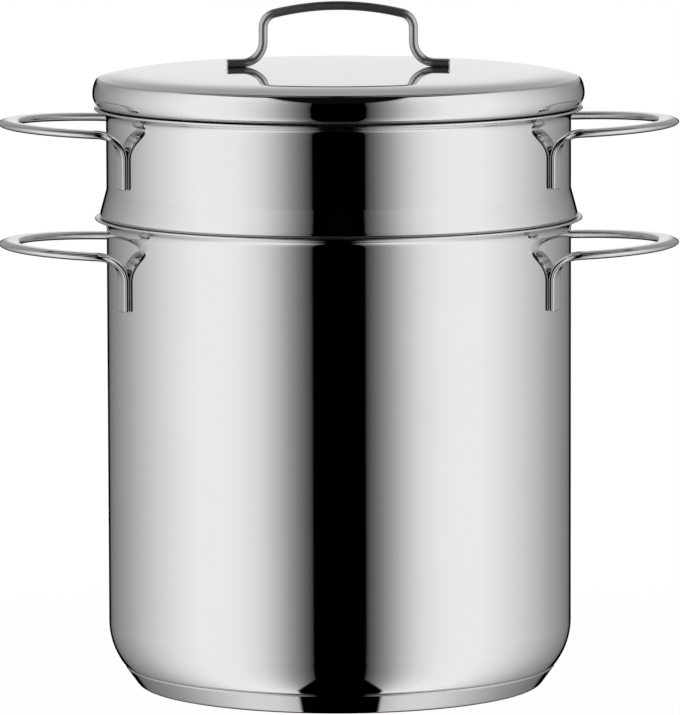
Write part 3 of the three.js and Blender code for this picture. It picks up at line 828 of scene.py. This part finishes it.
def polishing_lines():
    """Fine lines left by polishing as the piece turns: noise that is quick along radius plus height and
    slow round the axis, so it runs level on walls and in rings on floors."""
    tree, given, made = effect("polishing_lines", ("Lines per metre", "Break up"), ("Lines",))
    place = tree.nodes.new("ShaderNodeTexCoord")
    xyz = tree.nodes.new("ShaderNodeSeparateXYZ")
    tree.links.new(place.outputs["Object"], xyz.inputs[0])
    x, y, z = xyz.outputs
    radius = axis_distance(tree, x, y)
    across = maths(tree, "MULTIPLY", maths(tree, "ADD", radius, z), given.outputs["Lines per metre"])
    where = tree.nodes.new("ShaderNodeCombineXYZ")
    tree.links.new(maths(tree, "MULTIPLY", x, given.outputs["Break up"]), where.inputs[0])
    tree.links.new(maths(tree, "MULTIPLY", y, given.outputs["Break up"]), where.inputs[1])
    tree.links.new(across, where.inputs[2])
    noise = tree.nodes.new("ShaderNodeTexNoise")
    noise.inputs["Scale"].default_value = 1
    noise.inputs["Detail"].default_value = 3
    noise.inputs["Roughness"].default_value = 0.65
    tree.links.new(where.outputs[0], noise.inputs["Vector"])
    tree.links.new(noise.outputs["Fac"], made.inputs["Lines"])
    return tree


def handling_haze():
    """The faint cloudiness of a handled polish: broad noise with finer noise in it, at full range."""
    tree, given, made = effect("handling_haze", ("Clouds per metre",), ("Haze",))
    place = tree.nodes.new("ShaderNodeTexCoord")
    broad = tree.nodes.new("ShaderNodeTexNoise")
    broad.inputs["Detail"].default_value = 5
    broad.inputs["Roughness"].default_value = 0.6
    tree.links.new(place.outputs["Object"], broad.inputs["Vector"])
    tree.links.new(given.outputs["Clouds per metre"], broad.inputs["Scale"])
    tree.links.new(spread(tree, broad.outputs["Fac"], *HAZE_RANGE, 0, 1), made.inputs["Haze"])
    return tree


LINES = polishing_lines()
HAZE = handling_haze()


def placed(tree, group, **values):
    """A node group placed in a material with its own values, named as its sockets but with underscores."""
    made = tree.nodes.new("ShaderNodeGroup")
    made.node_tree = group
    for label, value in values.items():
        made.inputs[label.replace("_", " ")].default_value = value
    return made.outputs[0]


def steel(name, dark, light, rough, line_rate, line_depth, break_up):
    """Bare metal: haze and polishing lines set tint and roughness, and the lines make a shallow bump."""
    material = bpy.data.materials.new(name)
    material.use_nodes = True
    tree = material.node_tree
    shader = tree.nodes["Principled BSDF"]
    shader.inputs["Metallic"].default_value = 1
    lines = placed(tree, LINES, Lines_per_metre=line_rate, Break_up=break_up)
    haze = placed(tree, HAZE, Clouds_per_metre=CLOUDS_PER_METRE)
    shares = (maths(tree, "MULTIPLY", haze, HAZE_SHARE), maths(tree, "MULTIPLY", lines, LINES_SHARE))
    both = maths(tree, "ADD", *shares)
    tree.links.new(tint(tree, both, dark, light), shader.inputs["Base Color"])
    tree.links.new(spread(tree, both, 0, 1, *rough), shader.inputs["Roughness"])
    bump = tree.nodes.new("ShaderNodeBump")
    bump.inputs["Strength"].default_value = 1
    bump.inputs["Distance"].default_value = line_depth
    tree.links.new(lines, bump.inputs["Height"])
    tree.links.new(bump.outputs["Normal"], shader.inputs["Normal"])
    return material


mirror_steel = steel("mirror_steel", (0.80, 0.80, 0.80), (0.82, 0.82, 0.82), (0.025, 0.05),
                     line_rate=2200, line_depth=0.0000004, break_up=25)
base_polish = steel("base_polish", (0.62, 0.62, 0.62), (0.66, 0.66, 0.66), (0.05, 0.09),
                    line_rate=2200, line_depth=0.0000004, break_up=25)
satin_steel = steel("satin_steel", (0.60, 0.60, 0.605), (0.70, 0.70, 0.70), (0.22, 0.34),
                    line_rate=4200, line_depth=0.00002, break_up=18)
turned_steel = steel("turned_steel", (0.55, 0.55, 0.555), (0.70, 0.70, 0.70), (0.20, 0.32),
                     line_rate=1800, line_depth=0.000008, break_up=8)
bright_wire = steel("bright_wire", (0.70, 0.70, 0.705), (0.75, 0.75, 0.75), (0.03, 0.07),
                    line_rate=1500, line_depth=0.0000006, break_up=900)
satin_wire = steel("satin_wire", (0.53, 0.53, 0.535), (0.59, 0.59, 0.59), (0.28, 0.36),
                   line_rate=1500, line_depth=0.0000006, break_up=900)
cast_aluminium = steel("cast_aluminium", (0.52, 0.53, 0.54), (0.64, 0.65, 0.66), (0.36, 0.52),
                       line_rate=900, line_depth=0.00008, break_up=700)


# Assembly

steel_piece("pot_body", pot_surface(), (mirror_steel, satin_steel), "pot", "pot_shell")
steel_piece("base_plate", cap_surface(), (base_polish, turned_steel), "pot", "base_cap")
steel_piece("base_disc", core_surface(), (cast_aluminium,), "pot", "base_core")
steel_piece("strainer", insert_surface(), (mirror_steel, satin_steel), "insert", "strainer_insert")
steel_piece("lid_dome", lid_surface(), (mirror_steel, satin_steel), "lid", "lid_shell")
steel_piece("lid_grip", lid_handle_surface(), (satin_wire,), "lid", "lid_handle", False)
for side, sign in (("right", 1), ("left", -1)):
    pot_loop = loop_surface(POT_LOOP_LEVEL, POT_LEG_ANGLE, sign)
    insert_loop = loop_surface(INSERT_LOOP_LEVEL, INSERT_LEG_ANGLE, sign)
    steel_piece(f"pot_grip_{side}", pot_loop, (bright_wire,), "pot", f"pot_handle_{side}",
                False)
    steel_piece(f"insert_grip_{side}", insert_loop, (bright_wire,), "insert", f"insert_handle_{side}",
                False)


# Studio: a pale surround with a dark gap on the camera's side, seen only in reflections

# Angle from the camera's side in degrees, and the brightness there
SURROUND = (
    (0, 0.0), (12.8, 0.0), (13.6, 0.06), (19.5, 0.206), (25, 0.365), (30, 0.54), (35, 0.69), (40, 0.82),
    (51, 0.97), (62, 1.0), (74, 1.0), (87, 0.90), (101, 0.755), (119, 0.55), (129, 0.434), (143, 0.317),
    (158, 0.20), (160.5, 0.17), (162.8, 0.11), (164.6, 0.0), (180, 0.0),
)
DOWNWARD_FROM = 0.3
DOWNWARD_LEAN = 0.31
BACKDROP_BRIGHTNESS = 0.86
BACKDROP_EDGES = (173.5, 177.6)
BACKDROP_FOOT = (-3.8, -3.0)
BACKDROP_TOP = (13, 27)
REAR_BRIGHTNESS = 0.38
REAR_FOOT = (2.5, 7)
REAR_EDGES = (135, 165)
CEILING_BRIGHTNESS = 0.004
CEILING_EDGE = (46, 54)
CEILING_OPENS = (80, 100)
CEILING_CLOSES = (140, 160)
CEILING_VEIL = 0.6
CEILING_DIP = 1.15
CEILING_DIP_FROM = 0.72


def half_turns(degrees):
    """An angle as a share of half a turn."""
    return degrees / 180


def higher(tree, z, edges):
    """A smooth step from 0 to 1 between two elevations, for the height of a unit direction."""
    low, high = (math.sin(math.radians(degrees)) for degrees in edges)
    return spread(tree, z, low, high, 0, 1, True)


def further_round(tree, angle, edges):
    """A smooth step from 0 to 1 between two angles from the camera's side, for an angle in half turns."""
    first, last = (half_turns(degrees) for degrees in edges)
    return spread(tree, angle, first, last, 0, 1, True)


def blended(tree, under, over, mask):
    """One value laid over another by a mask."""
    made = tree.nodes.new("ShaderNodeMix")
    tree.links.new(mask, made.inputs["Factor"])
    tree.links.new(under, made.inputs["A"])
    made.inputs["B"].default_value = over
    return made.outputs["Result"]


def studio_world():
    """Light by direction: a ramp over the angle from the camera's side, the same at every height but drawn
    towards that side below, then a grey rear wall with a white backdrop before it, and a dark ceiling that
    comes down on the camera's side and is half open over the sides. The camera itself sees plain white."""
    world = bpy.data.worlds.new("studio")
    bpy.context.scene.world = world
    world.use_nodes = True
    tree = world.node_tree
    place = tree.nodes.new("ShaderNodeTexCoord")
    xyz = tree.nodes.new("ShaderNodeSeparateXYZ")
    tree.links.new(place.outputs["Generated"], xyz.inputs[0])
    x, y, z = xyz.outputs
    down = maths(tree, "MAXIMUM", maths(tree, "SUBTRACT", maths(tree, "MULTIPLY", z, -1), DOWNWARD_FROM), 0)
    y = maths(tree, "SUBTRACT", y, maths(tree, "MULTIPLY", down, DOWNWARD_LEAN))
    level = axis_distance(tree, x, y)
    facing = maths(tree, "MULTIPLY", maths(tree, "DIVIDE", y, maths(tree, "MAXIMUM", level, 1e-6)), -1)
    angle = maths(tree, "DIVIDE", maths(tree, "ARCCOSINE", facing), math.pi)
    ramp = tree.nodes.new("ShaderNodeValToRGB")
    stops = ramp.color_ramp.elements
    while len(stops) < len(SURROUND):
        stops.new(0.5)
    for stop, (degrees, brightness) in zip(stops, SURROUND):
        stop.position = half_turns(degrees)
        stop.color = (brightness, brightness, brightness, 1)
    tree.links.new(angle, ramp.inputs["Fac"])
    rear = maths(tree, "MULTIPLY", further_round(tree, angle, REAR_EDGES), higher(tree, z, REAR_FOOT))
    value = blended(tree, ramp.outputs["Color"], REAR_BRIGHTNESS, rear)
    near = maths(tree, "MAXIMUM", maths(tree, "SUBTRACT", facing, CEILING_DIP_FROM), 0)
    dip = maths(tree, "MULTIPLY", near, CEILING_DIP)
    ceiling = higher(tree, maths(tree, "ADD", z, dip), CEILING_EDGE)
    before_opening = maths(tree, "SUBTRACT", 1, further_round(tree, angle, CEILING_OPENS))
    past_opening = further_round(tree, angle, CEILING_CLOSES)
    shut = maths(tree, "MAXIMUM", before_opening, past_opening)
    closed = maths(tree, "MAXIMUM", shut, CEILING_VEIL)
    value = blended(tree, value, CEILING_BRIGHTNESS, maths(tree, "MULTIPLY", ceiling, closed))
    behind = further_round(tree, angle, BACKDROP_EDGES)
    upright = maths(tree, "MULTIPLY", behind, higher(tree, z, BACKDROP_FOOT))
    below_top = maths(tree, "SUBTRACT", 1, higher(tree, z, BACKDROP_TOP))
    value = blended(tree, value, BACKDROP_BRIGHTNESS, maths(tree, "MULTIPLY", upright, below_top))
    rays = tree.nodes.new("ShaderNodeLightPath")
    value = blended(tree, value, 1.0, rays.outputs["Is Camera Ray"])
    background = tree.nodes["Background"]
    tree.links.new(value, background.inputs["Color"])


# Floor

FLOOR_RADIUS = 0.36
FLOOR_SOLID = 0.16
FLOOR_CIRCLES = 5
FLOOR_RING_STEPS = 96
FLOOR_GLOW = 0.985
# Painted shade on the floor in front of the base, seen only in the steel's reflections: its size and softness
SHADE_HALF_WIDTH = 18.5 * MM
SHADE_WIDEST_AT = 86.5 * MM
SHADE_NARROWING = 0.45
SHADE_TAPER = 0.47
SHADE_SOFTNESS = 1 * MM


def floor_disc():
    """A flat disc under the pot: rings of points about the axis."""
    turn = np.linspace(0, 2 * math.pi, FLOOR_RING_STEPS, endpoint=False)
    radius = np.linspace(0, FLOOR_RADIUS, FLOOR_CIRCLES)[::-1, None]
    x = radius * np.cos(turn)
    y = radius * np.sin(turn)
    points = np.stack((x, y, np.zeros_like(x)), axis=-1)
    surface = {
        "points": points.reshape(-1, 3),
        "normals": np.zeros((FLOOR_CIRCLES * FLOOR_RING_STEPS, 3)),
        "quads": grid_quads(FLOOR_CIRCLES, FLOOR_RING_STEPS, True)[:, ::-1],
        "finish": np.zeros((FLOOR_CIRCLES - 1) * FLOOR_RING_STEPS, dtype=int),
    }
    points, _, faces, _ = welded(surface)
    mesh = bpy.data.meshes.new("floor")
    mesh.from_pydata(points.tolist(), [], faces)
    mesh.materials.append(floor_paper())
    floor = bpy.data.objects.new("floor", mesh)
    bpy.context.scene.collection.objects.link(floor)


def floor_paper():
    """White paper that thins out to nothing towards the disc's edge, so that the floor has no border, and
    that is clear to reflections, so that the steel shows the studio below the horizon too. Only a painted
    shade in front of the base is kept there for reflections: a black patch on the camera's side, narrower
    towards the base and tapering off away from it."""
    material = bpy.data.materials.new("floor_paper")
    material.use_nodes = True
    tree = material.node_tree
    paper = tree.nodes["Principled BSDF"]
    paper.inputs["Base Color"].default_value = (0.9, 0.9, 0.9, 1)
    paper.inputs["Roughness"].default_value = 0.9
    paper.inputs["Specular IOR Level"].default_value = 0
    glow = tree.nodes.new("ShaderNodeEmission")
    rays = tree.nodes.new("ShaderNodeLightPath")
    lit = tree.nodes.new("ShaderNodeMixShader")
    tree.links.new(maths(tree, "MULTIPLY", rays.outputs["Is Camera Ray"], FLOOR_GLOW), lit.inputs[0])
    tree.links.new(paper.outputs[0], lit.inputs[1])
    tree.links.new(glow.outputs[0], lit.inputs[2])
    place = tree.nodes.new("ShaderNodeTexCoord")
    far = tree.nodes.new("ShaderNodeVectorMath")
    far.operation = "LENGTH"
    tree.links.new(place.outputs["Object"], far.inputs[0])
    xyz = tree.nodes.new("ShaderNodeSeparateXYZ")
    tree.links.new(place.outputs["Object"], xyz.inputs[0])
    x, y, _ = xyz.outputs
    # Painted shade: a black patch on the floor in front of the base, seen only by glossy rays, which stands
    # in for the shade there
    ahead = maths(tree, "SUBTRACT", maths(tree, "MULTIPLY", y, -1), SHADE_WIDEST_AT)
    towards_base = maths(tree, "MULTIPLY", ahead, -SHADE_NARROWING)
    away_from_base = maths(tree, "MULTIPLY", ahead, SHADE_TAPER)
    narrower = maths(tree, "MAXIMUM", towards_base, away_from_base)
    half_width = maths(tree, "SUBTRACT", SHADE_HALF_WIDTH, narrower)
    outside = maths(tree, "SUBTRACT", maths(tree, "ABSOLUTE", x), half_width)
    clear_of_painted_shade = spread(tree, outside, -SHADE_SOFTNESS, SHADE_SOFTNESS, 0, 1, True)
    clear = tree.nodes.new("ShaderNodeBsdfTransparent")
    tree.links.new(clear_of_painted_shade, clear.inputs["Color"])
    faded = tree.nodes.new("ShaderNodeMixShader")
    thin = spread(tree, far.outputs["Value"], FLOOR_SOLID, FLOOR_RADIUS, 0, 1, True)
    tree.links.new(maths(tree, "MAXIMUM", thin, rays.outputs["Is Glossy Ray"]), faded.inputs[0])
    tree.links.new(lit.outputs[0], faded.inputs[1])
    tree.links.new(clear.outputs[0], faded.inputs[2])
    tree.links.new(faded.outputs[0], tree.nodes["Material Output"].inputs["Surface"])
    return material


# Camera

CAMERA_DISTANCE = 2.8
CAMERA_HEIGHT = 0.4516
CAMERA_OFFSET = 0.0003
CAMERA_DIP = 6.583
CAMERA_ROLL = -0.168
LENS = 362


def studio_camera():
    """A long lens in front of the pot and above it, dipped towards its middle, and a touch off level."""
    data = bpy.data.cameras.new("camera")
    data.lens = LENS
    camera = bpy.data.objects.new("camera", data)
    camera.location = (CAMERA_OFFSET, -CAMERA_DISTANCE, CAMERA_HEIGHT)
    camera.rotation_mode = "ZYX"
    camera.rotation_euler = (math.radians(90 - CAMERA_DIP), 0, math.radians(CAMERA_ROLL))
    bpy.context.scene.collection.objects.link(camera)
    bpy.context.scene.camera = camera


studio_world()
floor_disc()
studio_camera()
bpy.context.scene.view_settings.view_transform = "Standard"
